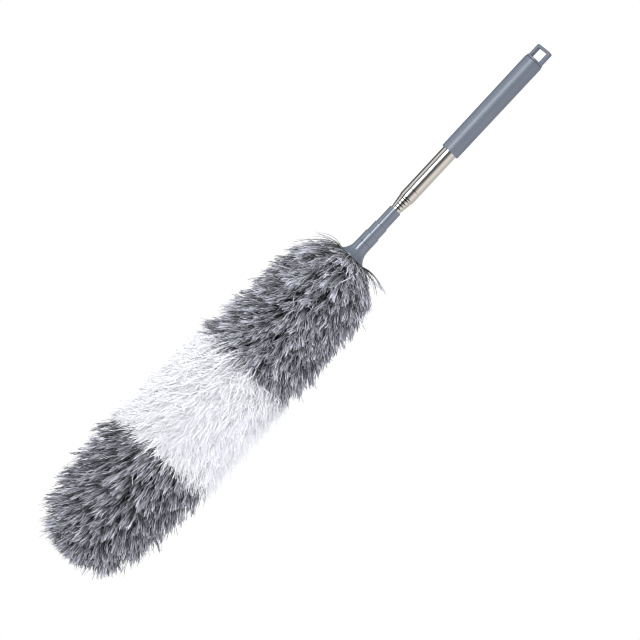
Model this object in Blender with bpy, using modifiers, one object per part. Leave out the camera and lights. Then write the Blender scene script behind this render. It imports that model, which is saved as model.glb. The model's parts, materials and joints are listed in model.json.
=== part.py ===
"""A telescopic duster that hangs by its loop: grip, six-tube pole and a round head of soft strands.

Metres, +Z up. The origin is where a hook bears inside the hanging loop, and the pole's axis is Z.
Heights are negative below the hook. Each sliding pole section hangs from an empty on that axis.
"""

import math

import bmesh
import bpy

MM = 0.001

# ---- driving dimensions: the pole
TRAVEL = 150.0 * MM  # each of the five sliding sections, so 610 mm grows to 1360 mm
TUBE_DIAMETER = 14.4 * MM  # the outermost tube
TUBE_STEP = 0.9 * MM  # each tube is this much smaller across than the one it slides in
TUBE_WALL = 0.2 * MM
TUBE_MOUTHS = [-176.3 * MM, -178.3 * MM, -181.6 * MM, -184.4 * MM, -187.6 * MM]
GROOVE_HEIGHT = -166.7 * MM  # of the ring rolled into the outermost tube near its mouth
GROOVE_WIDTH = 1.6 * MM
GROOVE_DEPTH = 0.1 * MM
LIP_HEIGHT = 1.2 * MM  # the rolled-in mouth that stops the next section
LIP_CLEARANCE = 0.06 * MM
MOUTH_ROUND = 0.15 * MM
CUP_LENGTH = 9.5 * MM  # the overlap that still guides a section when it is drawn out
CUP_FLOOR = 0.6 * MM
CUP_WALL = 0.16 * MM
CUP_CLEARANCE = 0.04 * MM
CUP_VENT = 1.0 * MM
STOP_GAP = 0.3 * MM
SEAT_GAP = 0.1 * MM

# ---- driving dimensions: the grip and its hanging loop
GAP = 0.3 * MM  # between pieces that touch
GRIP_TOP = -12.5 * MM
GRIP_MOUTH = -120.3 * MM
GRIP_TOP_DIAMETER = 18.2 * MM
GRIP_MOUTH_DIAMETER = 17.7 * MM
GRIP_SHOULDER = 1.6 * MM
GRIP_EDGE = 0.5 * MM
LOOP_WIDTH = 17.0 * MM
LOOP_DEPTH = 4.2 * MM
LOOP_TOP = 2.5 * MM
LOOP_BAR = 2.4 * MM
LOOP_ROUND = 1.6 * MM
LOOP_INNER_ROUND = 0.8 * MM
LOOP_EDGE = 0.35 * MM
LOOP_SINK = 1.2 * MM  # of the loop's outer frame into the cap
LOOP_FLOOR_SINK = 0.5 * MM  # of its opening, so that the cap is the opening's floor
CAP_TOP = -10.5 * MM  # the floor of the loop's opening
CAP_DIAMETER = 17.2 * MM
CAP_EDGE = 0.3 * MM
CAP_PLUG_BOTTOM = -14.9 * MM

# ---- driving dimensions: the adapter on the last tube, and the head's ferrule
ADAPTER_TOP = -189.8 * MM
ADAPTER_STEPS = [(11.8 * MM, -207.9 * MM), (13.1 * MM, -219.1 * MM), (14.4 * MM, -229.1 * MM)]
ADAPTER_CHAMFER = 0.25 * MM
ADAPTER_BORE_BOTTOM = -215.0 * MM
THREAD_DIAMETER = 9.0 * MM
THREAD_DEPTH = 0.7 * MM
THREAD_PITCH = 1.75 * MM
THREAD_TURNS = 4
SOCKET_DIAMETER = 9.6 * MM
SOCKET_BOTTOM = -238.2 * MM
FERRULE_DIAMETER = 14.5 * MM
FLARE_TOP = -233.5 * MM
BELL_RIM = -246.1 * MM
BELL_DIAMETER = 24.4 * MM
BELL_WALL = 0.9 * MM
HUB_DIAMETER = 13.6 * MM
HOLLOW_START = 20.0  # degrees down the flare's arc where the bell becomes hollow
HUB_TOP = -240.0 * MM
HUB_BOTTOM = -252.0 * MM

# ---- driving dimensions: the head
CORE_DIAMETER = 8.0 * MM
CORE_BOTTOM = -598.0 * MM
BACKING_WALL = 1.2 * MM
TIP_CAP_DIAMETER = 12.0 * MM
TIP_CAP_TOP = -592.0 * MM
TIP_CAP_BOTTOM = -601.0 * MM
TIP_CAP_ROUND = 2.0 * MM
HEAD_TOP = -247.4 * MM
HEAD_TIP = -607.4 * MM
NECK_RADIUS = 12.4 * MM
CROWN_END = -300.0 * MM
CROWN_RADIUS = 46.5 * MM
WIDEST_HEIGHT = -470.0 * MM
WIDEST_RADIUS = 55.0 * MM
TIP_FULLNESS = (4.0, 2.4)  # powers of the tip's curve; 2 and 2 would make it an ellipse
UPPER_BAND_END = -384.6 * MM
MIDDLE_BAND_END = -493.8 * MM

POLE_SIDES = 48
HEAD_SIDES = 48
ARC_POINTS = 8
TIP_POINTS = 10
MERGE = 1e-6

# ---- sizes that follow
LAST = len(TUBE_MOUTHS) + 1


def tube_radius(number):
    return (TUBE_DIAMETER - TUBE_STEP * (number - 1)) / 2


def cup_skirt_bottom(number):
    """A section's cup stops on the lip of the tube round it, one travel below where it rests."""
    return TUBE_MOUTHS[number - 2] + LIP_HEIGHT + STOP_GAP + TRAVEL


def cup_top(number):
    return cup_skirt_bottom(number) + CUP_LENGTH


def tube_top(number):
    if number == 1:
        return GRIP_TOP
    return cup_top(number) - CUP_FLOOR - SEAT_GAP


# ---- helpers


def clear_scene():
    for obj in list(bpy.data.objects):
        bpy.data.objects.remove(obj, do_unlink=True)


def new_collection(name):
    made = bpy.data.collections.new(name)
    bpy.context.scene.collection.children.link(made)
    return made


def new_material(name, colour, roughness, metallic=0.0):
    made = bpy.data.materials.new(name)
    made.use_nodes = True
    shader = made.node_tree.nodes["Principled BSDF"]
    shader.inputs["Base Color"].default_value = (*colour, 1.0)
    shader.inputs["Roughness"].default_value = roughness
    shader.inputs["Metallic"].default_value = metallic
    made.diffuse_color = (*colour, 1.0)
    return made


def new_axis(name, height, parent=None):
    """An empty on the pole's axis, which one moving body hangs from."""
    axis = bpy.data.objects.new(name, None)
    axis.empty_display_size = 10 * MM
    parts.objects.link(axis)
    axis.parent = parent
    axis.location.z = height - (parent.matrix_world.translation.z if parent else 0.0)
    bpy.context.view_layer.update()
    return axis


def arc(centre, radii, start, end, points=ARC_POINTS):
    """Points (radius, height) on an ellipse's arc, from one angle to another in degrees, both ends included."""
    found = []
    for i in range(points + 1):
        angle = math.radians(start + (end - start) * i / points)
        found.append((centre[0] + radii[0] * math.cos(angle), centre[1] + radii[1] * math.sin(angle)))
    return found


def turned(name, profile, material, axis, sides=POLE_SIDES):
    """A solid of revolution about Z. The profile's (radius, height) points run down its outer side.

    A profile that starts and ends on the axis is closed by turning; any other closes on itself.
    """
    top = max(height for _, height in profile)
    outline = bmesh.new()
    verts = [outline.verts.new((radius, 0.0, height - top)) for radius, height in profile]
    for first, second in zip(verts, verts[1:]):
        outline.edges.new((first, second))
    if profile[0][0] > 0:
        outline.edges.new((verts[-1], verts[0]))
    mesh = bpy.data.meshes.new(name)
    outline.to_mesh(mesh)
    outline.free()
    mesh.materials.append(material)
    obj = bpy.data.objects.new(name, mesh)
    parts.objects.link(obj)
    obj.parent = axis
    obj.location.z = top - axis.matrix_world.translation.z
    screw = obj.modifiers.new("turn", "SCREW")
    screw.steps = sides
    screw.render_steps = sides
    screw.use_merge_vertices = True
    screw.merge_threshold = MERGE
    screw.use_smooth_shade = False
    return obj


def rounded_rectangle(half_width, low, high, radius, points=4):
    """Corner arcs of a rectangle that is symmetric about the axis, as (x, height) points."""
    outline = []
    corners = [
        (half_width - radius, high - radius, 0),
        (radius - half_width, high - radius, 90),
        (radius - half_width, low + radius, 180),
        (half_width - radius, low + radius, 270),
    ]
    for x, height, start in corners:
        outline += arc((x, height), (radius, radius), start, start + 90, points)
    return outline


# ---- the grip and its loop


def loop_frame():
    """The loop's flat frame as a helper mesh, which is joined to the cap that carries it."""
    flat = bpy.data.curves.new("loop_frame", "CURVE")
    flat.dimensions = "2D"
    flat.fill_mode = "BOTH"
    flat.extrude = LOOP_DEPTH / 2
    outer = rounded_rectangle(LOOP_WIDTH / 2, CAP_TOP - LOOP_SINK, LOOP_TOP, LOOP_ROUND)
    inner = rounded_rectangle(LOOP_WIDTH / 2 - LOOP_BAR, CAP_TOP - LOOP_FLOOR_SINK, 0.0, LOOP_INNER_ROUND)
    for outline in (outer, inner):
        spline = flat.splines.new("POLY")
        spline.points.add(len(outline) - 1)
        for point, (x, height) in zip(spline.points, outline):
            point.co = (x, height, 0.0, 1.0)
        spline.use_cyclic_u = True
    frame = bpy.data.objects.new("loop_frame", flat)
    helpers.objects.link(frame)
    frame.rotation_euler.x = math.pi / 2
    bpy.context.view_layer.update()
    solid = bpy.data.meshes.new_from_object(frame.evaluated_get(bpy.context.evaluated_depsgraph_get()))
    bpy.data.objects.remove(frame)
    welding = bmesh.new()
    welding.from_mesh(solid)
    bmesh.ops.remove_doubles(welding, verts=welding.verts, dist=MERGE)
    bmesh.ops.recalc_face_normals(welding, faces=welding.faces)
    welding.to_mesh(solid)
    welding.free()
    frame = bpy.data.objects.new("loop_frame", solid)
    helpers.objects.link(frame)
    frame.rotation_euler.x = math.pi / 2
    frame.hide_render = True
    frame.display_type = "WIRE"
    edge = frame.modifiers.new("edge", "BEVEL")
    edge.limit_method = "ANGLE"
    edge.angle_limit = math.radians(50)
    edge.width = LOOP_EDGE
    edge.segments = 2
    return frame


def make_cap(axis):
    """The loop's cap, whose short plug sits in the outermost tube."""
    radius = CAP_DIAMETER / 2
    plug = tube_radius(1) - TUBE_WALL - GAP
    under = GRIP_TOP + GAP
    profile = [
        (0.0, CAP_TOP),
        (radius - CAP_EDGE, CAP_TOP),
        (radius, CAP_TOP - CAP_EDGE),
        (GRIP_TOP_DIAMETER / 2 - GRIP_SHOULDER / 3, under),
        (plug, under),
        (plug, CAP_PLUG_BOTTOM + GRIP_EDGE),
        (plug - GRIP_EDGE, CAP_PLUG_BOTTOM),
        (0.0, CAP_PLUG_BOTTOM),
    ]
    cap = turned("hang_loop_cap", profile, grip_plastic, axis)
    join = cap.modifiers.new("loop", "BOOLEAN")
    join.operation = "UNION"
    join.solver = "EXACT"
    join.object = loop_frame()


def make_grip(axis):
    """The sleeve over the outermost tube, a little slimmer at its mouth."""
    top = GRIP_TOP_DIAMETER / 2
    mouth = GRIP_MOUTH_DIAMETER / 2
    bore = tube_radius(1) + GAP
    shoulder = arc(
        (top - GRIP_SHOULDER / 3, GRIP_TOP - GRIP_SHOULDER), (GRIP_SHOULDER / 3, GRIP_SHOULDER), 90, 0, 4
    )
    profile = shoulder + [
        (mouth, GRIP_MOUTH + GRIP_EDGE),
        (mouth - GRIP_EDGE, GRIP_MOUTH),
        (bore, GRIP_MOUTH),
        (bore, GRIP_TOP),
    ]
    turned("grip_sleeve", profile, grip_plastic, axis)


# ---- the pole


def make_tube(number, axis):
    """A steel tube whose mouth is rolled in round the next tube. The outermost one has a ring groove too."""
    outer = tube_radius(number)
    inner = outer - TUBE_WALL
    top = tube_top(number)
    mouth = TUBE_MOUTHS[number - 1]
    lip = tube_radius(number + 1) + LIP_CLEARANCE
    profile = [(outer, top)]
    if number == 1:
        profile += [
            (outer, GROOVE_HEIGHT + GROOVE_WIDTH / 2),
            (outer - GROOVE_DEPTH, GROOVE_HEIGHT),
            (outer, GROOVE_HEIGHT - GROOVE_WIDTH / 2),
        ]
    profile += [
        (outer, mouth + 3 * MOUTH_ROUND),
        (outer - MOUTH_ROUND / 3, mouth + MOUTH_ROUND),
        (outer - MOUTH_ROUND, mouth),
        (lip, mouth),
        (lip, mouth + LIP_HEIGHT),
        (inner, mouth + LIP_HEIGHT + GAP / 2),
        (inner, top),
    ]
    turned(f"tube_{number}", profile, steel, axis)


def make_last_tube(axis):
    """The innermost tube, which ends in the adapter's bore."""
    outer = tube_radius(LAST)
    bottom = ADAPTER_BORE_BOTTOM + GAP
    top = tube_top(LAST)
    profile = [(outer, top), (outer, bottom), (outer - TUBE_WALL, bottom), (outer - TUBE_WALL, top)]
    turned(f"tube_{LAST}", profile, steel, axis)


def make_cup(number, axis):
    """The friction cup on a section's top end. It rubs in the tube round it and stops on that tube's lip."""
    inner = tube_radius(number) + CUP_CLEARANCE
    outer = inner + CUP_WALL
    top = cup_top(number)
    skirt = cup_skirt_bottom(number)
    profile = [
        (outer - CUP_WALL, top),
        (outer, top - CUP_WALL),
        (outer, skirt),
        (inner, skirt),
        (inner, top - CUP_FLOOR),
        (CUP_VENT, top - CUP_FLOOR),
        (CUP_VENT, top),
    ]
    turned(f"friction_cup_{number}", profile, cup_brass, axis)


def make_adapter(axis):
    """The stepped collar on the last tube, with the threaded plug that the head screws onto."""
    bore = tube_radius(LAST) + CUP_CLEARANCE
    profile = [(ADAPTER_STEPS[0][0] / 2 - ADAPTER_CHAMFER, ADAPTER_TOP)]
    height = ADAPTER_TOP
    for diameter, bottom in ADAPTER_STEPS:
        profile.append((diameter / 2, height - ADAPTER_CHAMFER))
        profile.append((diameter / 2, bottom))
        height = bottom
    crest = THREAD_DIAMETER / 2
    root = crest - THREAD_DEPTH
    profile.append((root, height))
    for turn in range(THREAD_TURNS):
        start = height - THREAD_PITCH * (turn + 0.5)
        profile.append((crest, start))
        profile.append((crest, start - THREAD_PITCH / 4))
        profile.append((root, start - THREAD_PITCH / 2))
    profile += [
        (0.0, profile[-1][1]),
        (0.0, ADAPTER_BORE_BOTTOM),
        (bore, ADAPTER_BORE_BOTTOM),
        (bore, ADAPTER_TOP),
    ]
    turned("pole_adapter", closed_on_axis(profile), trim_plastic, axis)


def closed_on_axis(profile):
    """A profile that meets the axis twice in its middle, turned round so that it starts and ends there."""
    middle = next(i for i, (radius, _) in enumerate(profile) if radius == 0.0)
    return profile[middle + 1 :] + profile[: middle + 1]


# ---- the head


def make_ferrule(axis):
    """The bell that screws onto the adapter, with a hub inside that holds the head's core."""
    body = FERRULE_DIAMETER / 2
    rim = BELL_DIAMETER / 2
    socket = SOCKET_DIAMETER / 2
    hub = HUB_DIAMETER / 2
    core = CORE_DIAMETER / 2 + GAP
    top = ADAPTER_STEPS[-1][1] - GAP
    drop = FLARE_TOP - BELL_RIM - BELL_WALL
    sweep = 2 * math.atan((rim - body) / drop)
    curve = drop / math.sin(sweep)
    end = 180 + math.degrees(sweep)
    centre = (body + curve, FLARE_TOP)
    flare = arc(centre, (curve, curve), 180, end)
    inside = arc(centre, (curve + BELL_WALL, curve + BELL_WALL), end, 180 + HOLLOW_START, 6)
    profile = (
        [(socket, top), (body, top)]
        + flare
        + [(rim, BELL_RIM), (inside[0][0], BELL_RIM)]
        + inside
        + [
            (hub, inside[-1][1]),
            (hub, HUB_BOTTOM),
            (core, HUB_BOTTOM),
            (core, HUB_TOP),
            (0.0, HUB_TOP),
            (0.0, SOCKET_BOTTOM),
            (socket, SOCKET_BOTTOM),
        ]
    )
    turned("head_ferrule", closed_on_axis(profile), trim_plastic, axis)


def make_core(axis):
    core = CORE_DIAMETER / 2
    top = HUB_TOP - GAP
    profile = [(0.0, top), (core, top), (core, CORE_BOTTOM), (0.0, CORE_BOTTOM)]
    turned("core_rod", profile, core_plastic, axis)


def make_tip_cap(axis):
    """The button pressed on the core's end, which keeps the strand backings on it."""
    outer = TIP_CAP_DIAMETER / 2
    bore = CORE_DIAMETER / 2 + GAP
    roof = CORE_BOTTOM - GAP
    profile = (
        [(bore, TIP_CAP_TOP), (outer, TIP_CAP_TOP)]
        + arc(
            (outer - TIP_CAP_ROUND, TIP_CAP_BOTTOM + TIP_CAP_ROUND), (TIP_CAP_ROUND, TIP_CAP_ROUND), 0, -90, 4
        )
        + [(0.0, TIP_CAP_BOTTOM), (0.0, roof), (bore, roof)]
    )
    turned("tip_cap", closed_on_axis(profile), core_plastic, axis)


def head_radius(height):
    """The head's outer side: an elliptic crown, a straight taper, and a tip that closes bluntly."""
    if height > CROWN_END:
        rise = (height - CROWN_END) / (HEAD_TOP - CROWN_END)
        return NECK_RADIUS + (CROWN_RADIUS - NECK_RADIUS) * math.sqrt(max(0.0, 1 - rise**2))
    if height > WIDEST_HEIGHT:
        share = (height - CROWN_END) / (WIDEST_HEIGHT - CROWN_END)
        return CROWN_RADIUS + (WIDEST_RADIUS - CROWN_RADIUS) * share
    drop = (height - WIDEST_HEIGHT) / (HEAD_TIP - WIDEST_HEIGHT)
    power, root = TIP_FULLNESS
    return WIDEST_RADIUS * max(0.0, 1 - drop**power) ** (1 / root)


def head_side(heights):
    return [(head_radius(height), height) for height in heights]


def crown_heights():
    """Heights down the crown, close together near the neck where it curves most."""
    quarter = [math.radians(90 * i / ARC_POINTS) for i in range(ARC_POINTS + 1)]
    return [CROWN_END + (HEAD_TOP - CROWN_END) * math.cos(angle) for angle in quarter]


def tip_heights():
    """Heights down the tip, closer together towards its end, which they leave out."""
    left = [1 - i / TIP_POINTS for i in range(1, TIP_POINTS)]
    return [WIDEST_HEIGHT + (HEAD_TIP - WIDEST_HEIGHT) * (1 - share**2) for share in left]


def make_backing(name, high, low, axis):
    bore = CORE_DIAMETER / 2 + GAP
    outer = bore + BACKING_WALL
    turned(name, [(outer, high), (outer, low), (bore, low), (bore, high)], backing_cloth, axis)


def make_head_bands(axis):
    """Three bands of strands, each on its own backing sleeve. Their soft solids hold the strands' space."""
    bore = CORE_DIAMETER / 2 + GAP + BACKING_WALL + GAP
    hub_bore = HUB_DIAMETER / 2 + GAP
    hub_end = HUB_BOTTOM - GAP
    cap_bore = TIP_CAP_DIAMETER / 2 + GAP

    make_backing("backing_upper", hub_end, UPPER_BAND_END, axis)
    upper = (
        [(hub_bore, HEAD_TOP)]
        + head_side(crown_heights() + [UPPER_BAND_END])
        + [(bore, UPPER_BAND_END), (bore, hub_end), (hub_bore, hub_end)]
    )
    turned("strands_upper", upper, grey_strands, axis, HEAD_SIDES)

    high = UPPER_BAND_END - GAP
    make_backing("backing_middle", high, MIDDLE_BAND_END, axis)
    side = head_side([high, WIDEST_HEIGHT, MIDDLE_BAND_END])
    middle = side + [(bore, MIDDLE_BAND_END), (bore, high)]
    turned("strands_middle", middle, white_strands, axis, HEAD_SIDES)

    high = MIDDLE_BAND_END - GAP
    make_backing("backing_lower", high, TIP_CAP_TOP + GAP, axis)
    lower = head_side([high] + [height for height in tip_heights() if height < high]) + [
        (0.0, HEAD_TIP),
        (0.0, TIP_CAP_BOTTOM - GAP),
        (cap_bore, TIP_CAP_BOTTOM - GAP),
        (cap_bore, TIP_CAP_TOP + 2 * GAP),
        (bore, TIP_CAP_TOP + 2 * GAP),
        (bore, high),
    ]
    turned("strands_lower", closed_on_axis(lower), grey_strands, axis, HEAD_SIDES)


# ---- the duster

clear_scene()
parts = new_collection("duster")
helpers = new_collection("helpers")
helpers.hide_render = True

grip_plastic = new_material("grip_plastic", (0.12, 0.14, 0.17), 0.45)
trim_plastic = new_material("trim_plastic", (0.13, 0.15, 0.18), 0.25)
steel = new_material("steel", (0.62, 0.60, 0.58), 0.12, metallic=1.0)
cup_brass = new_material("cup_brass", (0.70, 0.52, 0.26), 0.3, metallic=1.0)
core_plastic = new_material("core_plastic", (0.30, 0.30, 0.31), 0.5)
backing_cloth = new_material("backing_cloth", (0.45, 0.45, 0.46), 0.9)
grey_strands = new_material("grey_strands", (0.17, 0.17, 0.18), 0.8)
white_strands = new_material("white_strands", (0.85, 0.86, 0.90), 0.8)

handle = new_axis("handle_axis", 0.0)
make_cap(handle)
make_grip(handle)
make_tube(1, handle)

section = handle
for number in range(2, LAST + 1):
    section = new_axis(f"section_{number}_axis", TUBE_MOUTHS[number - 2], section)
    make_cup(number, section)
    if number < LAST:
        make_tube(number, section)
make_last_tube(section)
make_adapter(section)

head = new_axis("head_axis", ADAPTER_STEPS[-1][1], section)
make_ferrule(head)
make_core(head)
make_tip_cap(head)
make_head_bands(head)
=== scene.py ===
"""The looks of the telescopic duster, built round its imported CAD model.

Metres, +Z up, in the CAD's frame: the hook bears at the origin and the pole's axis is Z.
"""

import json
import math

import bmesh
import bpy
import numpy as np
from mathutils import Matrix, Vector

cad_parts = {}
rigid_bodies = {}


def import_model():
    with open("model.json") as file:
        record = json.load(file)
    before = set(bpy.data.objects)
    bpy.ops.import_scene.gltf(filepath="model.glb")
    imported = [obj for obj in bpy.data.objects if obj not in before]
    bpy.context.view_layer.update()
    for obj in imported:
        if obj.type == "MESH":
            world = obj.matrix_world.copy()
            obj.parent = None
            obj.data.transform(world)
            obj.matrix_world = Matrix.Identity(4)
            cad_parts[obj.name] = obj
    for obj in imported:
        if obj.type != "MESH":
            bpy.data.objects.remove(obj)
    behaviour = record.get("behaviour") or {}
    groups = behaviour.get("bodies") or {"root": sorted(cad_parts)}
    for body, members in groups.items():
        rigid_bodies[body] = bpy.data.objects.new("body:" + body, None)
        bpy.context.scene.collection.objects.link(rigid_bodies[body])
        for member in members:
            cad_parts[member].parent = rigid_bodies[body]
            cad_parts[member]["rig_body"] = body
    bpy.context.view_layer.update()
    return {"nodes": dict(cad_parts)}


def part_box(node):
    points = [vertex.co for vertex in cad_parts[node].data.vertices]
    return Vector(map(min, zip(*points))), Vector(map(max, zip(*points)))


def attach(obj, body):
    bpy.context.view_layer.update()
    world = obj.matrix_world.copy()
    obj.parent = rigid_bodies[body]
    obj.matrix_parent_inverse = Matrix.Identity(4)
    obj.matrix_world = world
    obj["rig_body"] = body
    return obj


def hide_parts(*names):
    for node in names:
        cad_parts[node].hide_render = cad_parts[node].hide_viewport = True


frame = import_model()

MM = 0.001
SEED = 11

# ---- the view and the studio
CAMERA_DISTANCE = 3.0
CAMERA_AZIMUTH = math.radians(38.0)
CAMERA_ROLL = math.radians(42.95)
CAMERA_LENS = 193.1
AIM_HEIGHT = -305.0 * MM
AIM_ASIDE = 17.1 * MM
FLOOR_HEIGHT = -1.50
FLOOR_RADIUS = 1.30
FLOOR_THICKNESS = 0.02
# What the steel mirrors: (degrees round from the camera, towards its right; brightness or colour)
MIRRORED_CARDS = [
    (-180, 0.55), (-158, 0.25), (-130, 0.10), (-112, 0.11), (-100, 0.74), (-80, 0.72), (-66, 0.30),
    (-60, 0.10), (-54, 0.10), (-48, 0.78), (-34, 0.85), (-20, 0.70), (-12, 0.34), (-4, 0.07), (6, 0.07),
    (16, 0.22), (28, 0.34), (38, (0.74, 0.69, 0.64)), (57, (0.88, 0.81, 0.75)), (74, (0.74, 0.69, 0.64)),
    (92, (0.63, 0.60, 0.56)), (114, (0.52, 0.50, 0.46)), (147, (0.62, 0.62, 0.60)),
]

# ---- the hard pieces
TURNED_SIDES = 96
TUBE_WALL = 0.2 * MM
LIP_LENGTH = 1.0 * MM  # of a tube's rolled-in mouth
LIP_GAP = 0.03 * MM  # from a mouth to the tube inside it
LIP_EDGE = 0.05 * MM
GROOVE_HEIGHT = -166.7 * MM  # of the ring rolled into the outermost tube
GROOVE_WIDTH = 1.0 * MM
GROOVE_DEPTH = 0.16 * MM
GRIP_EDGE = 0.15 * MM
TRIM_EDGE = 0.12 * MM
FERRULE_RAISE = 0.15 * MM  # of its top face, which closes its joint with the adapter to a hairline
WELD_DISTANCE = 0.001 * MM
TOP_LEVEL = 0.01 * MM  # a corner this near the top of a piece is part of its top face
FLAT_ANGLE = math.radians(0.5)  # under it, two faces are joined up as one
SHARP_ANGLE = math.radians(30.0)  # over it, an edge is eased and stays sharp in the shading
TUBE_SHARP_ANGLE = math.radians(15.0)

# ---- the head's outer shape
NECK_RADIUS = 12.0 * MM
CROWN_DROP = 44.0 * MM
CROWN_RADIUS = 45.0 * MM
CROWN_SLOPE = 1.35  # 1 would leave the neck level, as an ellipse does
WIDEST_RADIUS = 52.5 * MM
TIP_DROP = 137.0 * MM
TIP_FULLNESS = (4.4, 2.5)  # (2, 2) would make the tip an ellipse
RIM_GAP = 1.3 * MM  # from the strands' solid up to the bell's rim
SAG = 5.0 * MM  # of the strands to one side, from SAG_TOP down
SAG_TOP = -320.0 * MM
SAG_LENGTH = 130.0 * MM
FARTHEST = 61.0 * MM  # that any strand stands out from the pole's axis, before the sag

# ---- every strand
RINGS = 7  # along a strand, before its point
LAST_RING = 0.96
TAPER = 0.30
SHADES = 16  # columns of the strands' colour map
CURL_WAVES = (7.0, 14.0)  # radians along a strand
CURL_STRENGTH = 5.0  # shared out by a wave's radians, so that the longer wave is the stronger
BIGGEST_PIECE = 4600  # strands, so that a piece stays under 200,000 triangles
BAND_EDGE_SPREAD = 1.5 * MM  # of the strands either side of where two bands meet
WHITE_RISE = 3.0 * MM  # of the white band's lower edge, because its points hang past their band
CEILING_GAP = 0.6 * MM  # from the bell's rim down to the highest strand
CEILING_REACH = 24.0 * MM  # from NECK_RADIUS outwards, over which that height falls away
GOLDEN_ANGLE = math.pi * (3 - math.sqrt(5))
ANGLE_SPREAD = 0.02
NECK_FADE = 20.0 * MM  # from NECK_RADIUS outwards, over which strands come to stand out freely
LIGHTEST = 0.999  # of a shade, so that it still falls in the colour map's last column
COLUMN_MARGIN = 0.2  # of a column's width, left free at each side
ROW_MARGIN = 0.01

# ---- the strands in locks
# Here and below, a pair is the middle and the spread of a normal draw, unless its comment says more.
LOCKS = 4600
STRANDS_A_LOCK = 13
STRAND_RADIUS = 0.41 * MM
THICKNESS_SPREAD = 0.20
TIER_PITCH = 23.0 * MM  # of the strip that is wound round the core
TIER_RELIEF = 7.6 * MM  # from one edge of the strip to the other
TIER_CREST = 0.85  # where in a tier a lock ends on the outer shape
TIER_SPREAD = 0.10
TIER_PAINTED_SHADE = 0.22  # lighter at the strip's edge than under the turn above: painted shade from that turn
LIFT_SPREAD = 2.3 * MM
HIGHEST_LIFT = 5.5 * MM
LEAST_LOCK_LIFT = 0.15  # the share of its lift that a lock keeps at the neck
LOCK_DEPTH = (28.0 * MM, 4.5 * MM)
RISE_SPREAD = 6.0 * MM
ROOTS_UNDER_RIM = 3.0 * MM  # the depth over which the highest roots are spread
CORE_RADIUS = 5.0 * MM
BELL_FADE = 20.0 * MM  # a lock that would start this far over the highest root is wholly near the bell
BELL_ROOT_RADIUS = 9.5 * MM  # the most, for such a lock
BEND_SHARE = np.array((0.62, 0.42))  # of the way out and the way down from its root, where a lock bends
BELL_BEND_SHARE = np.array((0.08, 0.10))  # less, near the bell
LOCK_SHADE = (0.48, 0.13)
BELL_PAINTED_LIGHT = 0.32  # lighter near the bell: painted light against the bell's shadow
STRAND_SHADE_SPREAD = 0.27
STRAND_LONGER = (-0.02, 0.10)  # than its lock, as a share of the lock past its bend
STRAY_SHARE = 0.12
STRAY_WILDNESS = 1.6
ROOT_SCATTER = (1.5 * MM, 2.0 * MM)  # spreads: out and up, and aside; the next two are the same
BEND_SCATTER = (1.0 * MM, 1.9 * MM)
END_SCATTER = (0.9 * MM, 1.7 * MM)
LOCK_CEILING_SLOPE = 0.55

# ---- by band: upper, middle, lower
BAND_NODES = ("strands_upper", "strands_middle", "strands_lower")
BAND_UNEVENNESS = np.array((1.0, 0.35, 1.5))  # of how far the locks stand out
BAND_SWELL = np.array((0.0, 2.2 * MM, 0.0))  # of all its locks
BAND_LEAN = np.array((8.5 * MM, 4.0 * MM, 2.6 * MM))  # of a lock to one side
BAND_SCATTER = np.array((1.0, 1.8, 0.75))  # of the strands in a lock
BAND_FINENESS = np.array((0.86, 0.74, 0.86))  # of a strand, as a share of STRAND_RADIUS
BAND_RISE = np.array((18.0 * MM, 21.0 * MM, 21.0 * MM))  # from a lock's end up to its root
BAND_CURL = np.array((1.1 * MM, 0.35 * MM, 0.4 * MM))
BAND_SHADE = np.array((0.0, 0.0, -0.07))

# ---- the loose single strands, and the long wisps in tufts round the bell
FINE_RADIUS = 0.22 * MM
FINE_SHADE = (0.5, 0.22)
LOOSE_STRANDS = 2600
LOOSE_OUT = (1.6 * MM, 2.2 * MM)  # past the outer shape
LEAST_LOOSE_LIFT = 0.1  # the share of it that a loose strand keeps at the neck
LOOSE_LEAN = 5.0 * MM
LOOSE_WILD_SHARE = 0.06
LOOSE_WILDNESS = 2.0
LOOSE_DROP = (5.0 * MM, 3.0 * MM)
LOOSE_DROP_RADIUS = 40.0 * MM  # from there out, a loose strand drops in full
LOOSE_DEPTH = (10.0 * MM, 2.0 * MM)
LOOSE_ROOT_RADIUS = 4.0 * MM  # the least
LOOSE_RISE = 9.0 * MM  # from its place on the outer shape up to its root
LOOSE_BEND_DEPTH = 1.0 * MM
LOOSE_BEND_RISE = 2.0 * MM
LOOSE_BEND_SPREAD = 2.5 * MM
LOOSE_END_RADIUS = 1.0 * MM  # the least
LOOSE_CURL = 0.8 * MM
LOOSE_CEILING_SLOPE = 0.35
WISP_TUFTS = 72
WISPS_A_TUFT = 3
WISP_THICKNESS = 1.3  # times a loose strand's
WISP_ANGLE_SPREAD = 0.05
WISP_REACH = (24.0 * MM, 50.0 * MM)  # least and most; the next three are the same
WISP_REACH_SHARE = (0.8, 1.05)
WISP_FALL = (3.0 * MM, 30.0 * MM)
WISP_ARCH = (0.0, 0.17)  # over the rim, as a share of its reach
WISP_FALL_SPREAD = 1.2 * MM
WISP_ARCH_SPREAD = 0.02
WISP_ASIDE_SPREAD = 4.0 * MM
WISP_ROOT_RADIUS = 10.5 * MM
WISP_ROOT_DROP = 1.5 * MM
WISP_BEND_REACH = 0.55  # the share of its reach at which a wisp bends
WISP_BEND_FALL = 0.15  # the share of its fall that its bend takes
WISP_CURL = 3.4 * MM

# ---- the matted strands under them
UNDERLAYER_ROWS = 40
UNDERLAYER_COLUMNS = 72
UNDERLAYER_END_POWER = 8  # 2 would round its ends as an ellipse does
UNDERLAYER_GAP = 1.0 * MM  # from its ends to its band's
LEAST_UNDERLAYER = 0.30  # of the head's radius
LUMP_HEIGHT = 1.6 * MM
LUMP_SMOOTHING = 2  # times over
GREY_UNDERLAYER_DEPTH = 21.0 * MM
WHITE_UNDERLAYER_DEPTH = 7.5 * MM

WHITE_SHADES = ((0.956, 0.958, 0.975), (0.974, 0.975, 0.985))


# ---- nodes and materials


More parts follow.
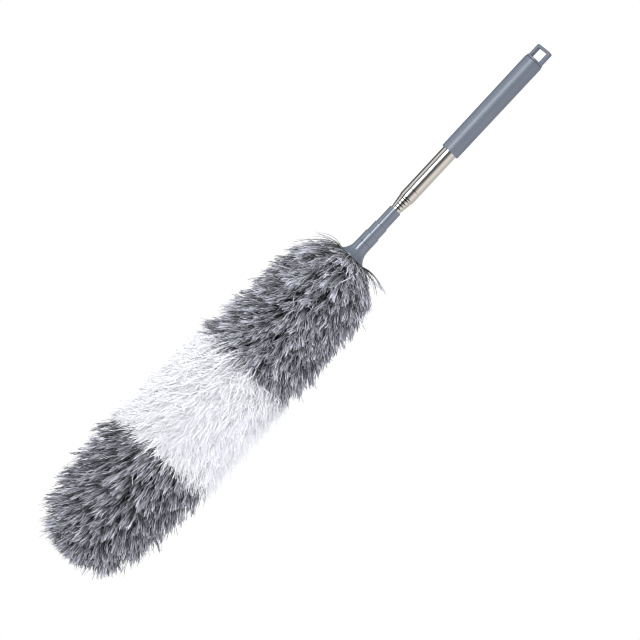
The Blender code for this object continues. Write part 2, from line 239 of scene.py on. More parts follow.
def new_material(name):
    made = bpy.data.materials.new(name)
    made.use_nodes = True
    return made, made.node_tree, made.node_tree.nodes["Principled BSDF"]


def add(tree, kind, inputs=None, **settings):
    """A new node with its settings. An input is given as its value, or as the output that feeds it."""
    node = tree.nodes.new(kind)
    for key, value in settings.items():
        setattr(node, key, value)
    for key, value in (inputs or {}).items():
        if isinstance(value, bpy.types.NodeSocket):
            tree.links.new(value, node.inputs[key])
        else:
            node.inputs[key].default_value = value
    return node


def maths(tree, operation, first, second=None):
    inputs = {0: first} if second is None else {0: first, 1: second}
    return add(tree, "ShaderNodeMath", inputs, operation=operation).outputs[0]


def mix_colours(tree, factor, first, second, blend_type="MIX"):
    inputs = {"Factor": factor, "A": first, "B": second}
    node = add(tree, "ShaderNodeMix", inputs, data_type="RGBA", blend_type=blend_type)
    return node.outputs["Result"]


def ramp(tree, factor, stops):
    """A colour ramp whose stops are (place, colour), a colour being three numbers or one."""
    node = add(tree, "ShaderNodeValToRGB", {"Fac": factor})
    elements = node.color_ramp.elements
    while len(elements) < len(stops):
        elements.new(0.5)
    for element, (place, colour) in zip(elements, stops):
        element.position = place
        rgb = (colour,) * 3 if isinstance(colour, (int, float)) else colour
        element.color = (*rgb, 1.0)
    return node.outputs["Color"]


def object_place(tree):
    return add(tree, "ShaderNodeTexCoord").outputs["Object"]


def noise(tree, place, scale, detail, stretch=(1.0, 1.0, 1.0)):
    mapped = add(tree, "ShaderNodeMapping", {"Vector": place, "Scale": stretch}).outputs["Vector"]
    node = add(tree, "ShaderNodeTexNoise", {"Vector": mapped, "Scale": scale, "Detail": detail})
    return node.outputs["Fac"]


def bump(tree, height, strength, distance):
    node = add(tree, "ShaderNodeBump", {"Height": height, "Strength": strength, "Distance": distance})
    return node.outputs["Normal"]


def plastic(name, dark, light, roughness, grain):
    """Moulded plastic: a faint cloudy colour, a fine moulded grain and a little wear in the gloss."""
    made, tree, shader = new_material(name)
    place = object_place(tree)
    cloud = noise(tree, place, scale=60.0, detail=3.0)
    colour = ramp(tree, cloud, [(0.3, dark), (0.7, light)])
    tree.links.new(colour, shader.inputs["Base Color"])
    wear = noise(tree, place, scale=220.0, detail=4.0, stretch=(1.0, 1.0, 0.25))
    gloss = ramp(tree, wear, [(0.3, roughness - 0.05), (0.75, roughness + 0.06)])
    tree.links.new(gloss, shader.inputs["Roughness"])
    fine = noise(tree, place, scale=2600.0, detail=2.0)
    tree.links.new(bump(tree, fine, grain, 0.05 * MM), shader.inputs["Normal"])
    shader.inputs["IOR"].default_value = 1.62
    shader.inputs["Specular IOR Level"].default_value = 0.9
    shader.inputs["Specular Tint"].default_value = (0.86, 0.92, 1.0, 1.0)
    return made


def polished_steel():
    """Drawn and polished tube: fine lines along it, and a slight warmth."""
    made, tree, shader = new_material("steel")
    place = object_place(tree)
    lines = noise(tree, place, scale=1400.0, detail=2.0, stretch=(1.0, 1.0, 0.004))
    colour = ramp(tree, lines, [(0.3, (0.80, 0.785, 0.765)), (0.7, (0.90, 0.89, 0.875))])
    tree.links.new(colour, shader.inputs["Base Color"])
    smears = noise(tree, place, scale=90.0, detail=3.0, stretch=(1.0, 1.0, 0.4))
    gloss = ramp(tree, smears, [(0.3, 0.08), (0.8, 0.13)])
    tree.links.new(gloss, shader.inputs["Roughness"])
    tree.links.new(bump(tree, lines, 0.05, 0.02 * MM), shader.inputs["Normal"])
    shader.inputs["Metallic"].default_value = 1.0
    return made


def drawn_brass():
    made, tree, shader = new_material("cup_brass")
    place = object_place(tree)
    stain = noise(tree, place, scale=300.0, detail=4.0)
    colour = ramp(tree, stain, [(0.3, (0.52, 0.36, 0.16)), (0.7, (0.74, 0.56, 0.29))])
    tree.links.new(colour, shader.inputs["Base Color"])
    tree.links.new(ramp(tree, stain, [(0.3, 0.42), (0.7, 0.26)]), shader.inputs["Roughness"])
    shader.inputs["Metallic"].default_value = 1.0
    return made


def backing_cloth():
    """A close knit sleeve: uneven rows round the rod, broken up by rough yarn."""
    made, tree, shader = new_material("backing_cloth")
    place = object_place(tree)
    wave = {"Vector": place, "Scale": 260.0, "Distortion": 1.5}
    rows = add(tree, "ShaderNodeTexWave", wave, bands_direction="Z")
    rough_yarn = noise(tree, place, scale=900.0, detail=3.0)
    knit = maths(tree, "MULTIPLY", rows.outputs["Fac"], rough_yarn)
    colour = ramp(tree, knit, [(0.05, (0.20, 0.20, 0.22)), (0.6, (0.46, 0.46, 0.50))])
    tree.links.new(colour, shader.inputs["Base Color"])
    tree.links.new(bump(tree, knit, 0.6, 0.3 * MM), shader.inputs["Normal"])
    shader.inputs["Roughness"].default_value = 0.9
    return made


def strand_material(name, roots, tips, sheen):
    """Strands coloured by their own map: across it a strand's shade, and up it the way to its point.

    roots and tips each hold a dark and a light colour, and a strand's shade lies between the two.
    Roots darker than their tips are painted shade, deep in the pile.
    """
    made, tree, shader = new_material(name)
    place = add(tree, "ShaderNodeUVMap", uv_map="OFBake")
    parts = add(tree, "ShaderNodeSeparateXYZ", {"Vector": place.outputs["UV"]})
    column = maths(tree, "FLOOR", maths(tree, "MULTIPLY", parts.outputs["X"], float(SHADES)))
    shade = maths(tree, "DIVIDE", column, SHADES - 1.0)
    shaded_root_colour = ramp(tree, shade, [(0.0, roots[0]), (1.0, roots[1])])
    tip_colour = ramp(tree, shade, [(0.0, tips[0]), (1.0, tips[1])])
    # painted shade: the roots' colours low on a strand, fading to the tips' colours towards its point
    along = ramp(tree, parts.outputs["Y"], [(0.28, 0.0), (0.80, 1.0)])
    colour = mix_colours(tree, along, shaded_root_colour, tip_colour)
    tree.links.new(colour, shader.inputs["Base Color"])
    shader.inputs["Roughness"].default_value = 0.55
    shader.inputs["Specular IOR Level"].default_value = 0.35
    shader.inputs["Sheen Weight"].default_value = sheen
    shader.inputs["Sheen Roughness"].default_value = 0.4
    return made


def underlayer_material(name, dark, light):
    made, tree, shader = new_material(name)
    streaks = noise(tree, object_place(tree), scale=500.0, detail=4.0, stretch=(1.0, 1.0, 0.15))
    colour = ramp(tree, streaks, [(0.3, dark), (0.7, light)])
    tree.links.new(colour, shader.inputs["Base Color"])
    tree.links.new(bump(tree, streaks, 0.8, 0.8 * MM), shader.inputs["Normal"])
    shader.inputs["Roughness"].default_value = 0.9
    return made


# ---- pieces


def new_piece(name, mesh, material):
    mesh.materials.clear()
    mesh.materials.append(material)
    piece = bpy.data.objects.new(name, mesh)
    bpy.context.scene.collection.objects.link(piece)
    return piece


def stand_for(piece, node):
    """Shows a piece in a CAD node's place: on that node's body, with the node hidden."""
    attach(piece, frame["nodes"][node]["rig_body"])
    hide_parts(node)


def shade_by_angle(piece, sharp_angle):
    bpy.context.view_layer.objects.active = piece
    piece.select_set(True)
    bpy.ops.object.shade_smooth_by_angle(angle=sharp_angle)
    piece.select_set(False)


# ---- hard pieces


def smooth_copy(node, material, edge, raised=0.0):
    """A CAD node's shape as one smooth piece: welded, its flat faces joined up and its edges eased."""
    mesh = frame["nodes"][node].data.copy()
    work = bmesh.new()
    work.from_mesh(mesh)
    bmesh.ops.remove_doubles(work, verts=work.verts, dist=WELD_DISTANCE)
    bmesh.ops.dissolve_limit(work, angle_limit=FLAT_ANGLE, verts=work.verts, edges=work.edges)
    top = max(vert.co.z for vert in work.verts)
    for vert in work.verts:
        if vert.co.z > top - TOP_LEVEL:
            vert.co.z += raised
    work.to_mesh(mesh)
    work.free()
    piece = new_piece(f"{node}_finished", mesh, material)
    eased = piece.modifiers.new("eased", "BEVEL")
    eased.limit_method = "ANGLE"
    eased.angle_limit = SHARP_ANGLE
    eased.width = edge
    eased.segments = 2
    bpy.context.view_layer.objects.active = piece
    bpy.ops.object.modifier_apply(modifier=eased.name)
    shade_by_angle(piece, SHARP_ANGLE)
    stand_for(piece, node)


def turned_ring(name, profile, material):
    """A ring turned about the pole's axis from a closed profile of (radius, height)."""
    work = bmesh.new()
    rows = []
    for i in range(TURNED_SIDES):
        turn = 2 * math.pi * i / TURNED_SIDES
        rows.append([work.verts.new((r * math.cos(turn), r * math.sin(turn), z)) for r, z in profile])
    for this, after in zip(rows, rows[1:] + rows[:1]):
        for j in range(len(profile)):
            n = (j + 1) % len(profile)
            work.faces.new((this[j], this[n], after[n], after[j]))
    bmesh.ops.recalc_face_normals(work, faces=work.faces)
    mesh = bpy.data.meshes.new(name)
    work.to_mesh(mesh)
    work.free()
    piece = new_piece(name, mesh, material)
    shade_by_angle(piece, TUBE_SHARP_ANGLE)
    return piece


def make_tube(number, material):
    """A polished tube whose mouth is rolled in, in a cone, onto the tube inside it."""
    node = f"tube_{number}"
    low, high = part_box(node)
    radius = high.x
    wall = radius - TUBE_WALL
    inner = f"tube_{number + 1}"
    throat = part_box(inner)[1].x + LIP_GAP if inner in frame["nodes"] else wall
    profile = [(radius, high.z)]
    if number == 1:
        profile += [
            (radius, GROOVE_HEIGHT + GROOVE_WIDTH / 2),
            (radius - GROOVE_DEPTH, GROOVE_HEIGHT),
            (radius, GROOVE_HEIGHT - GROOVE_WIDTH / 2),
        ]
    profile += [
        (radius, low.z + LIP_LENGTH),
        (throat + LIP_EDGE, low.z),
        (throat, low.z + LIP_EDGE),
        (throat, low.z + LIP_LENGTH),
        (wall, low.z + 1.5 * LIP_LENGTH),
        (wall, high.z),
    ]
    stand_for(turned_ring(f"{node}_finished", profile, material), node)


# ---- the head's shape


def bell_rim():
    """The height of the bell's rim."""
    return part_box("strands_upper")[1].z + RIM_GAP


def head_profile(points=400):
    """(radius, height) down the head's outer side, from under the bell to the tip."""
    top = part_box("strands_upper")[1].z
    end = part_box("strands_lower")[0].z
    crown_low = top - CROWN_DROP
    widest_height = end + TIP_DROP
    turn = np.linspace(0.0, math.pi / 2, points)
    crown_radius = NECK_RADIUS + (CROWN_RADIUS - NECK_RADIUS) * np.sin(turn) ** CROWN_SLOPE
    crown = np.c_[crown_radius, crown_low + CROWN_DROP * np.cos(turn)]
    down = np.linspace(0.0, 1.0, points)[1:-1]
    side_radius = CROWN_RADIUS + (WIDEST_RADIUS - CROWN_RADIUS) * down
    side = np.c_[side_radius, crown_low + (widest_height - crown_low) * down]
    drop = 1.0 - np.linspace(1.0, 0.0, points) ** 2
    power, root = TIP_FULLNESS
    tip = np.c_[WIDEST_RADIUS * (1.0 - drop**power) ** (1 / root), widest_height - TIP_DROP * drop]
    return np.r_[crown, side, tip]


def spread_over_head(count, rng):
    """Even places on the head's outer side: radius, height, angle round, and the normal there."""
    profile = head_profile()
    steps = np.diff(profile, axis=0)
    lengths = np.hypot(*steps.T)
    middle = (profile[1:, 0] + profile[:-1, 0]) / 2
    area = np.r_[0.0, np.cumsum(lengths * middle)]
    order = (np.arange(count) + rng.uniform(0.2, 0.8, count)) / count
    at = np.interp(order * area[-1], area, np.arange(len(profile)))
    radius = np.interp(at, np.arange(len(profile)), profile[:, 0])
    height = np.interp(at, np.arange(len(profile)), profile[:, 1])
    tangent = steps[np.minimum(at.astype(int), len(steps) - 1)]
    tangent /= np.hypot(*tangent.T)[:, None]
    normal = np.c_[-tangent[:, 1], tangent[:, 0]]
    angle = np.arange(count) * GOLDEN_ANGLE + rng.normal(0.0, ANGLE_SPREAD, count)
    return radius, height, angle, normal


def around(radius, height, angle, aside):
    """Points from cylinder coordinates, each moved aside along the tangent there."""
    cos, sin = np.cos(angle), np.sin(angle)
    x = radius * cos - aside * sin
    y = radius * sin + aside * cos
    return np.stack(np.broadcast_arrays(x, y, height), axis=-1)


def band_of(height):
    """0, 1 or 2 for the upper, middle and lower band."""
    middle_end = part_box("strands_middle")[0].z + WHITE_RISE
    return (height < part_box("strands_upper")[0].z).astype(int) + (height < middle_end)


def tier_place(height, angle, rng):
    """Where each lock lies across its turn of the wound strip: 0 under the turn above, 1 at its edge."""
    turns = -height / TIER_PITCH + angle / (2 * math.pi)
    # Waves of three and five to a turn keep the strip's edge from being a clean helix.
    wobble = 0.22 * np.sin(3 * angle + 1.3) + 0.16 * np.sin(5 * angle + height / (17 * MM))
    return (turns + wobble + rng.normal(0.0, TIER_SPREAD, len(height))) % 1.0


# ---- strands as paths


def steps_along():
    """The places of a strand's rings, from 0 at its root, and of its point, at 1."""
    return np.append(np.linspace(0.0, LAST_RING, RINGS), 1.0)


def curves(first, bend, last):
    """Points along quadratic curves, as an array of curve, point, coordinate."""
    t = steps_along()[None, :, None]
    return (1 - t) ** 2 * first[:, None] + 2 * t * (1 - t) * bend[:, None] + t**2 * last[:, None]


def curl(paths, size, rng):
    """Waves each strand from side to side, growing towards its free end."""
    count = len(paths)
    t = steps_along()[None, :]
    aside = np.stack([-paths[:, -1, 1], paths[:, -1, 0], 0 * paths[:, -1, 0]], -1)
    aside /= np.linalg.norm(aside, axis=1, keepdims=True) + 1e-9
    for turn in CURL_WAVES:
        phase = rng.uniform(0.0, 2 * math.pi, count)[:, None]
        height = (rng.normal(0.0, CURL_STRENGTH / turn, count) * size)[:, None]
        wave = height * np.sin(phase + turn * t) * t
        paths += wave[..., None] * aside[:, None]


def under_bell(paths, slope):
    """Keeps strands from standing up over the bell's rim, under a cone that falls away from it."""
    radius = np.hypot(paths[..., 0], paths[..., 1])
    ceiling = bell_rim() - CEILING_GAP - slope * np.clip(radius - NECK_RADIUS, 0.0, CEILING_REACH)
    paths[..., 2] = np.minimum(paths[..., 2], ceiling)


def keep_near(paths):
    """Pulls the few longest strays in, to FARTHEST from the axis."""
    radius = np.hypot(paths[..., 0], paths[..., 1])
    paths[..., :2] *= (FARTHEST / np.maximum(radius, FARTHEST))[..., None]


def sag(paths):
    """Lets the lower strands hang a little to the camera's left."""
    share = np.clip((SAG_TOP - paths[..., 2]) / SAG_LENGTH, 0.0, 1.0)
    share = SAG * share * share * (3 - 2 * share)
    paths[..., 0] -= share * math.cos(CAMERA_AZIMUTH)
    paths[..., 1] -= share * math.sin(CAMERA_AZIMUTH)


def neck_fade(radius, least):
    """How freely strands stand out at a radius, from least at the neck to 1."""
    return np.clip((radius - NECK_RADIUS) / NECK_FADE, least, 1.0)


def place_locks(rng):
    """Each lock's root and tip, as (radius, height), and its angle round, lean, shade and band.

    Last comes near_bell, which goes from 0 to 1 as the rim keeps the lock's root further down.
    """
    radius, height, angle, normal = spread_over_head(LOCKS, rng)
    tier = tier_place(height, angle, rng)
    band = band_of(height)
    lift = TIER_RELIEF * (tier - TIER_CREST) + rng.normal(0.0, LIFT_SPREAD, LOCKS)
    lift = np.minimum(lift * BAND_UNEVENNESS[band], HIGHEST_LIFT) + BAND_SWELL[band]
    lift *= neck_fade(radius, LEAST_LOCK_LIFT)
    tip = np.c_[radius, height] + normal * lift[:, None]
    depth = rng.normal(*LOCK_DEPTH, LOCKS)
    rise = rng.normal(0.0, RISE_SPREAD, LOCKS) + BAND_RISE[band]
    highest = bell_rim() - rng.uniform(0.0, ROOTS_UNDER_RIM, LOCKS)
    root_height = np.clip(tip[:, 1] + rise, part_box("tip_cap")[1].z, highest)
    root_radius = np.clip(tip[:, 0] - depth, CORE_RADIUS, None)
    near_bell = np.clip((tip[:, 1] + rise - highest) / BELL_FADE, 0.0, 1.0)
    under_rim = np.minimum(root_radius, BELL_ROOT_RADIUS)
    root_radius = root_radius * (1 - near_bell) + under_rim * near_bell
    lean = rng.normal(0.0, 1.0, LOCKS) * BAND_LEAN[band]
    # A lock's shade is its own random tone, plus painted shade under the turn above
    shade = rng.normal(*LOCK_SHADE, LOCKS) + TIER_PAINTED_SHADE * (tier - 0.5)
    # painted light near the bell, against its shadow, and each band's own tone
    shade += BELL_PAINTED_LIGHT * near_bell + BAND_SHADE[band]
    return np.c_[root_radius, root_height], tip, angle, lean, shade, band, near_bell


def grow_locks(rng):
    """Strands in locks. A lock runs from deep in the head down to a place on its outer side.

    Returns the strands' paths, thicknesses and shades, from dark at 0 to light at 1, and the heights and
    angles where their locks end.
    """
    root, tip, angle, lean, shade, band, near_bell = (
        np.repeat(part, STRANDS_A_LOCK, axis=0) for part in place_locks(rng)
    )
    count = len(band)
    middle = root + (BEND_SHARE - BELL_BEND_SHARE * near_bell[:, None]) * (tip - root)
    end = tip + rng.normal(*STRAND_LONGER, count)[:, None] * (tip - middle)
    stray = rng.random(count) < STRAY_SHARE
    wild = (1.0 + STRAY_WILDNESS * stray) * BAND_SCATTER[band]

    def scattered(place, aside, spreads, wild):
        radius = place[:, 0] + rng.normal(0.0, spreads[0], count) * wild
        height = place[:, 1] + rng.normal(0.0, spreads[0], count) * wild
        return around(radius, height, angle, aside + rng.normal(0.0, spreads[1], count) * wild)

    first = scattered(root, 0.0, ROOT_SCATTER, 1.0)
    bend = scattered(middle, lean / 2, BEND_SCATTER, wild)
    last = scattered(end, lean, END_SCATTER, wild)
    paths = curves(first, bend, last)
    curl(paths, BAND_CURL[band], rng)
    under_bell(paths, LOCK_CEILING_SLOPE)
    thickness = STRAND_RADIUS * rng.lognormal(0.0, THICKNESS_SPREAD, count) * BAND_FINENESS[band]
    return paths, thickness, shade + rng.normal(0.0, STRAND_SHADE_SPREAD, count), tip[:, 1], angle


def grow_loose(rng):
    """Single strands that stick out of the locks all over the head: their paths, heights and angles."""
    count = LOOSE_STRANDS
    radius, height, angle, normal = spread_over_head(count, rng)
    out = rng.normal(*LOOSE_OUT, count) * neck_fade(radius, LEAST_LOOSE_LIFT)
    lean = rng.normal(0.0, LOOSE_LEAN, count)
    lean *= 1.0 + LOOSE_WILDNESS * (rng.random(count) < LOOSE_WILD_SHARE)
    drop = rng.normal(*LOOSE_DROP, count) * np.clip(radius / LOOSE_DROP_RADIUS, 0.0, 1.0)
    root_radius = np.maximum(radius - rng.normal(*LOOSE_DEPTH, count), LOOSE_ROOT_RADIUS)
    first = around(root_radius, height + LOOSE_RISE, angle, 0.0)
    aside = rng.normal(0.0, LOOSE_BEND_SPREAD, count)
    bend = around(radius - LOOSE_BEND_DEPTH, height + LOOSE_BEND_RISE, angle, aside)
    last_radius = np.maximum(radius + normal[:, 0] * out, LOOSE_END_RADIUS)
    last = around(last_radius, height + normal[:, 1] * out - drop, angle, lean)
    paths = curves(first, bend, last)
    curl(paths, LOOSE_CURL, rng)
    under_bell(paths, LOOSE_CEILING_SLOPE)
    return paths, height, angle


def grow_wisps(rng):
    """Long wisps in small tufts that arch out from under the bell: their paths and angles."""
    tuft = np.repeat(np.arange(WISP_TUFTS), WISPS_A_TUFT)
    count = len(tuft)
    rim = bell_rim()
    angle = rng.uniform(0.0, 2 * math.pi, WISP_TUFTS)[tuft] + rng.normal(0.0, WISP_ANGLE_SPREAD, count)
    reach = rng.uniform(*WISP_REACH, WISP_TUFTS)[tuft] * rng.uniform(*WISP_REACH_SHARE, count)
    fall = rng.uniform(*WISP_FALL, WISP_TUFTS)[tuft] + rng.normal(0.0, WISP_FALL_SPREAD, count)
    arch = rng.uniform(*WISP_ARCH, WISP_TUFTS)[tuft] + rng.normal(0.0, WISP_ARCH_SPREAD, count)
    first = around(WISP_ROOT_RADIUS, rim - WISP_ROOT_DROP, angle, 0.0)
    bend = around(WISP_BEND_REACH * reach, rim + arch * reach - WISP_BEND_FALL * fall, angle, 0.0)
    last = around(reach, rim - fall, angle, rng.normal(0.0, WISP_ASIDE_SPREAD, count))
    wisps = curves(first, bend, last)
    curl(wisps, WISP_CURL, rng)
    return wisps, angle


def grow_fine(rng):
    """The loose strands and the wisps together. Returns what grow_locks does."""
    loose, height, angle = grow_loose(rng)
    wisps, wisp_angle = grow_wisps(rng)
    paths = np.concatenate([loose, wisps])
    thickness = FINE_RADIUS * rng.lognormal(0.0, THICKNESS_SPREAD, len(paths))
    thickness[len(loose):] *= WISP_THICKNESS
    shade = rng.normal(*FINE_SHADE, len(paths))
    wisp_height = np.full(len(wisps), bell_rim())
    return paths, thickness, shade, np.r_[height, wisp_height], np.r_[angle, wisp_angle]


# ---- strands as meshes


def strand_verts(paths, thickness):
    """Each strand's vertices: rings of three along its path, and then its point."""
    along = np.gradient(paths, axis=1)
    along /= np.linalg.norm(along, axis=2, keepdims=True)
    side = np.cross(along, paths * (1.0, 1.0, 0.0))
    side /= np.linalg.norm(side, axis=2, keepdims=True) + 1e-12
    other = np.cross(side, along)
    turns = np.arange(3)[:, None] * 2 * math.pi / 3 + math.pi / 6
    ring = side[:, :RINGS, None] * np.cos(turns) + other[:, :RINGS, None] * np.sin(turns)
    taper = 1.0 - TAPER * steps_along()[:RINGS] ** 2
    radius = thickness[:, None] * taper
    rings = paths[:, :RINGS, None] + ring * radius[..., None, None]
    return np.concatenate([rings.reshape(len(paths), RINGS * 3, 3), paths[:, RINGS:]], axis=1)


def strand_faces():
    """One strand's faces: their counts of corners, the corners' vertices and (side, ring) places."""
    sizes, corners, places = [], [], []
    for k in range(RINGS - 1):
        for s in range(3):
            n = (s + 1) % 3
            corners += [3 * k + s, 3 * k + n, 3 * k + 3 + n, 3 * k + 3 + s]
            places += [(s, k), (s + 1, k), (s + 1, k + 1), (s, k + 1)]
            sizes.append(4)
    last = 3 * (RINGS - 1)
    for s in range(3):
        corners += [last + s, last + (s + 1) % 3, last + 3]
        places += [(s, RINGS - 1), (s + 1, RINGS - 1), (s + 0.5, RINGS)]
        sizes.append(3)
    corners += [2, 1, 0]
    places += [(2, 0), (1, 0), (0, 0.2)]
    sizes.append(3)
    return np.array(sizes), np.array(corners), np.array(places)


def strand_object(name, paths, thickness, shade, material):
    """One mesh of three-sided strands that taper to a point, each closed at its root."""
    count = len(paths)
    verts = strand_verts(paths, thickness)
    sizes, corners, places = strand_faces()
    corners = (corners[None] + verts.shape[1] * np.arange(count)[:, None]).ravel()
    sizes = np.tile(sizes, count)
    column = np.floor(shade * SHADES)
    across = COLUMN_MARGIN + (1 - 2 * COLUMN_MARGIN) * places[:, 0] / 3
    up = ROW_MARGIN + (1 - 2 * ROW_MARGIN) * places[:, 1] / RINGS
    u = (column[:, None] + across) / SHADES
    v = np.tile(up, (count, 1))

    mesh = bpy.data.meshes.new(name)
    mesh.vertices.add(verts.shape[0] * verts.shape[1])
    mesh.vertices.foreach_set("co", verts.astype(np.float32).ravel())
    mesh.loops.add(len(corners))
    mesh.loops.foreach_set("vertex_index", corners.astype(np.int32))
    mesh.polygons.add(len(sizes))
    mesh.polygons.foreach_set("loop_start", np.r_[0, np.cumsum(sizes)[:-1]].astype(np.int32))
    layer = mesh.uv_layers.new(name="OFBake")
    layer.data.foreach_set("uv", np.stack([u, v], -1).astype(np.float32).ravel())
    mesh.update(calc_edges=True)
    mesh.shade_smooth()
    return new_piece(name, mesh, material)


def make_strands(band_materials, rng):
    """Grows every strand, and shows them band by band, in pieces that each take a part of the turn."""
    grown = zip(grow_locks(rng), grow_fine(rng))
    paths, thickness, shade, height, angle = (np.concatenate(parts) for parts in grown)
    shade = np.clip(shade, 0.0, LIGHTEST)
    keep_near(paths)
    sag(paths)
    band = band_of(height + rng.normal(0.0, BAND_EDGE_SPREAD, len(height)))
    for number, (node, material) in enumerate(zip(BAND_NODES, band_materials)):
        found = np.flatnonzero(band == number)
        found = found[np.argsort(angle[found] % (2 * math.pi), kind="stable")]
        parts = np.array_split(found, math.ceil(len(found) / BIGGEST_PIECE))
        for i, part in enumerate(parts):
            piece = strand_object(f"{node}_{i + 1}", paths[part], thickness[part], shade[part], material)
            stand_for(piece, node)


def make_underlayer(band, depth, material, rng):
    """The matted inner strands of a band, as a lumpy body well inside the head."""
    name = f"{band}_underlayer"
    low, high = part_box(f"strands_{band}")
    heights = np.linspace(high.z - UNDERLAYER_GAP, low.z + UNDERLAYER_GAP, UNDERLAYER_ROWS)
    profile = head_profile(60)
    outer = np.interp(-heights, -profile[:, 1], profile[:, 0])
    rounded_ends = np.sqrt(1.0 - np.linspace(-1.0, 1.0, UNDERLAYER_ROWS) ** UNDERLAYER_END_POWER)
    radius = np.maximum((outer - depth) * rounded_ends, LEAST_UNDERLAYER * outer)
    lumps = rng.normal(0.0, 1.0, (UNDERLAYER_ROWS, UNDERLAYER_COLUMNS))
    for _ in range(LUMP_SMOOTHING):
        lumps = (lumps + np.roll(lumps, 1, 1) + np.roll(lumps, -1, 1)) / 3
    angles = np.arange(UNDERLAYER_COLUMNS) * 2 * math.pi / UNDERLAYER_COLUMNS
    points = around(radius[:, None] + LUMP_HEIGHT * lumps, heights[:, None], angles, 0.0)
    made = bmesh.new()
    grid = [[made.verts.new(point) for point in row] for row in points]
    for upper, lower in zip(grid, grid[1:]):
        for i in range(UNDERLAYER_COLUMNS):
            n = (i + 1) % UNDERLAYER_COLUMNS
            made.faces.new((upper[i], lower[i], lower[n], upper[n]))
    made.faces.new(grid[0])
    made.faces.new(grid[-1][::-1])
    bmesh.ops.recalc_face_normals(made, faces=made.faces)
    mesh = bpy.data.meshes.new(name)
    made.to_mesh(mesh)
    made.free()
    mesh.shade_smooth()
    stand_for(new_piece(name, mesh, material), f"strands_{band}")


# ---- the studio


def make_camera():
    across = Vector((math.cos(CAMERA_AZIMUTH), math.sin(CAMERA_AZIMUTH), 0.0))
    back = Vector((math.sin(CAMERA_AZIMUTH), -math.cos(CAMERA_AZIMUTH), 0.0))
    up = Vector((0.0, 0.0, 1.0))
    aim = up * AIM_HEIGHT + across * AIM_ASIDE
    right = across * math.cos(CAMERA_ROLL) + up * math.sin(CAMERA_ROLL)
    top = up * math.cos(CAMERA_ROLL) - across * math.sin(CAMERA_ROLL)
    data = bpy.data.cameras.new("camera")
    data.lens = CAMERA_LENS
    data.sensor_width = 36.0
    camera = bpy.data.objects.new("camera", data)
    bpy.context.scene.collection.objects.link(camera)
    turned = Matrix((right, top, back)).transposed().to_4x4()
    camera.matrix_world = Matrix.Translation(aim + back * CAMERA_DISTANCE) @ turned
    bpy.context.scene.camera = camera


def mirrored_surroundings(tree, way):
    """A ring of softboxes and dark cards round the pole, dim above and below."""
    parts = add(tree, "ShaderNodeSeparateXYZ", {"Vector": way})
    angle = maths(tree, "ARCTAN2", parts.outputs["X"], maths(tree, "MULTIPLY", parts.outputs["Y"], -1.0))
    whole_turn = {"Value": angle, "From Min": -math.pi, "From Max": math.pi}
    share = add(tree, "ShaderNodeMapRange", whole_turn)
    stops = [((degrees + 180) / 360, colour) for degrees, colour in MIRRORED_CARDS]
    ring = ramp(tree, share.outputs[0], stops)
    top_to_bottom = {"Value": parts.outputs["Z"], "From Min": -1.0, "From Max": 1.0}
    tilt = add(tree, "ShaderNodeMapRange", top_to_bottom)
    height = ramp(tree, tilt.outputs[0], [(0.22, 0.06), (0.28, 1.0), (0.70, 1.0), (0.84, 0.35)])
    return mix_colours(tree, 1.0, ring, height, blend_type="MULTIPLY")


def make_world():
    """A white studio, in which what mirrors differs from what lights and from what the camera sees."""
    world = bpy.data.worlds.new("studio")
    bpy.context.scene.world = world
    world.use_nodes = True
    tree = world.node_tree
    way = add(tree, "ShaderNodeTexCoord").outputs["Generated"]
    from_camera = {"Vector": way, "Angle": -CAMERA_AZIMUTH}
    turned = add(tree, "ShaderNodeVectorRotate", from_camera, rotation_type="Z_AXIS")
    mirrored = mirrored_surroundings(tree, turned.outputs[0])
    path = add(tree, "ShaderNodeLightPath")
    lighting = mix_colours(tree, path.outputs["Is Glossy Ray"], (0.98, 0.995, 1.04, 1.0), mirrored)
    seen = mix_colours(tree, path.outputs["Is Camera Ray"], lighting, (1.0, 1.0, 1.0, 1.0))
    tree.links.new(seen, tree.nodes["Background"].inputs["Color"])
    tree.nodes["Background"].inputs["Strength"].default_value = 1.0


def make_lamp(name, azimuth, elevation, distance, size, power, mirrored=False):
    """A softbox aimed at the object's middle, its azimuth and elevation in degrees from the camera."""
    turn = CAMERA_AZIMUTH + math.radians(azimuth)
    up = math.radians(elevation)
    way = Vector((math.sin(turn) * math.cos(up), -math.cos(turn) * math.cos(up), math.sin(up)))
    data = bpy.data.lights.new(name, "AREA")
    data.shape = "RECTANGLE"
    data.size, data.size_y = size
    data.energy = power
    lamp = bpy.data.objects.new(name, data)
    bpy.context.scene.collection.objects.link(lamp)
    lamp.location = Vector((0.0, 0.0, AIM_HEIGHT)) + way * distance
    lamp.rotation_euler = way.to_track_quat("Z", "Y").to_euler()
    lamp.visible_glossy = mirrored


def make_floor():
    middle = (0.0, 0.0, FLOOR_HEIGHT - FLOOR_THICKNESS / 2)
    bpy.ops.mesh.primitive_cylinder_add(
        vertices=TURNED_SIDES, radius=FLOOR_RADIUS, depth=FLOOR_THICKNESS, location=middle
    )
    floor = bpy.context.object
    floor.name = "floor"
    made, tree, shader = new_material("floor")
    shade = noise(tree, object_place(tree), scale=3.0, detail=2.0)
    tree.links.new(ramp(tree, shade, [(0.3, 0.80), (0.7, 0.83)]), shader.inputs["Base Color"])
    shader.inputs["Roughness"].default_value = 0.9
    floor.data.materials.append(made)


# ---- the duster

rng = np.random.default_rng(SEED)

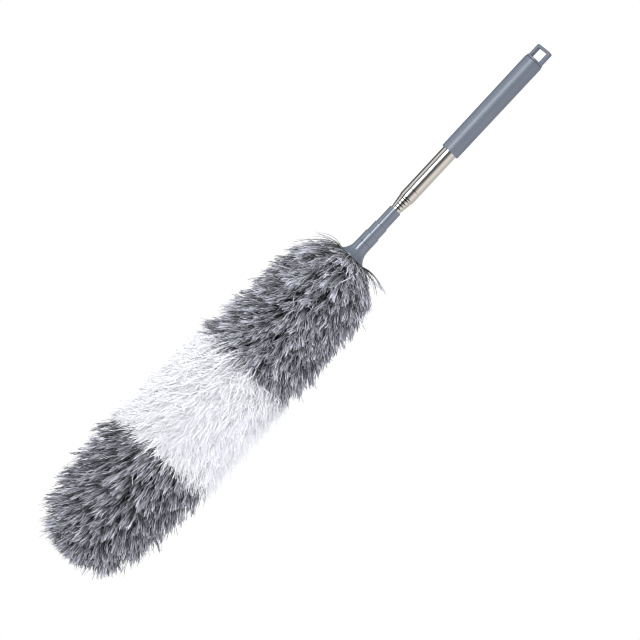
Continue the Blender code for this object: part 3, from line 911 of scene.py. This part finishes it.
grip_plastic = plastic(
    "grip_plastic", dark=(0.095, 0.110, 0.141), light=(0.106, 0.123, 0.156), roughness=0.46, grain=0.03
)
trim_plastic = plastic(
    "trim_plastic", dark=(0.111, 0.128, 0.157), light=(0.124, 0.143, 0.174), roughness=0.20, grain=0.03
)
core_plastic = plastic(
    "core_plastic", dark=(0.22, 0.22, 0.23), light=(0.30, 0.30, 0.31), roughness=0.5, grain=0.2
)
steel = polished_steel()
cup_brass = drawn_brass()
backing = backing_cloth()
grey_strands = strand_material(
    "grey_strands",
    # near-black roots: painted shade deep in the pile
    roots=((0.009, 0.009, 0.012), (0.052, 0.053, 0.066)),
    tips=((0.017, 0.017, 0.022), (0.82, 0.825, 0.91)),
    sheen=0.25,
)
white_strands = strand_material("white_strands", roots=WHITE_SHADES, tips=WHITE_SHADES, sheen=0.0)
# The grey underlayer's near-black is painted shade, deep inside the head.
shaded_grey_under = underlayer_material("shaded_grey_under", dark=(0.02, 0.02, 0.024), light=(0.07, 0.07, 0.08))
# The white underlayer, a little darker than the white strands, is painted shade deep in the band.
shaded_white_under = underlayer_material("shaded_white_under", dark=(0.88, 0.883, 0.912), light=(0.93, 0.933, 0.955))

for node in frame["nodes"]:
    if node.startswith("tube_"):
        make_tube(int(node[-1]), steel)
    elif node == "pole_adapter":
        smooth_copy(node, trim_plastic, TRIM_EDGE)
    elif node == "head_ferrule":
        smooth_copy(node, trim_plastic, TRIM_EDGE, raised=FERRULE_RAISE)
    elif node in ("hang_loop_cap", "grip_sleeve"):
        smooth_copy(node, grip_plastic, GRIP_EDGE)
    elif node.startswith("friction_cup_"):
        frame["nodes"][node].data.materials[0] = cup_brass
    elif node in ("core_rod", "tip_cap"):
        frame["nodes"][node].data.materials[0] = core_plastic
    elif node.startswith("backing_"):
        frame["nodes"][node].data.materials[0] = backing

make_strands((grey_strands, white_strands, grey_strands), rng)
make_underlayer("upper", GREY_UNDERLAYER_DEPTH, shaded_grey_under, rng)
make_underlayer("middle", WHITE_UNDERLAYER_DEPTH, shaded_white_under, rng)
make_underlayer("lower", GREY_UNDERLAYER_DEPTH, shaded_grey_under, rng)

make_camera()
make_world()
make_lamp(
    "softbox", azimuth=-34.0, elevation=4.0, distance=2.0, size=(0.70, 2.4), power=32.0, mirrored=True
)
make_lamp("left", azimuth=-95.0, elevation=-8.0, distance=1.8, size=(1.1, 1.1), power=6.0)
make_lamp("right", azimuth=84.0, elevation=-6.0, distance=1.9, size=(1.1, 1.1), power=17.0)
make_floor()
bpy.context.scene.view_settings.view_transform = "Standard"
bpy.context.scene.cycles.diffuse_bounces = 10
bpy.context.scene.cycles.filter_width = 1.1
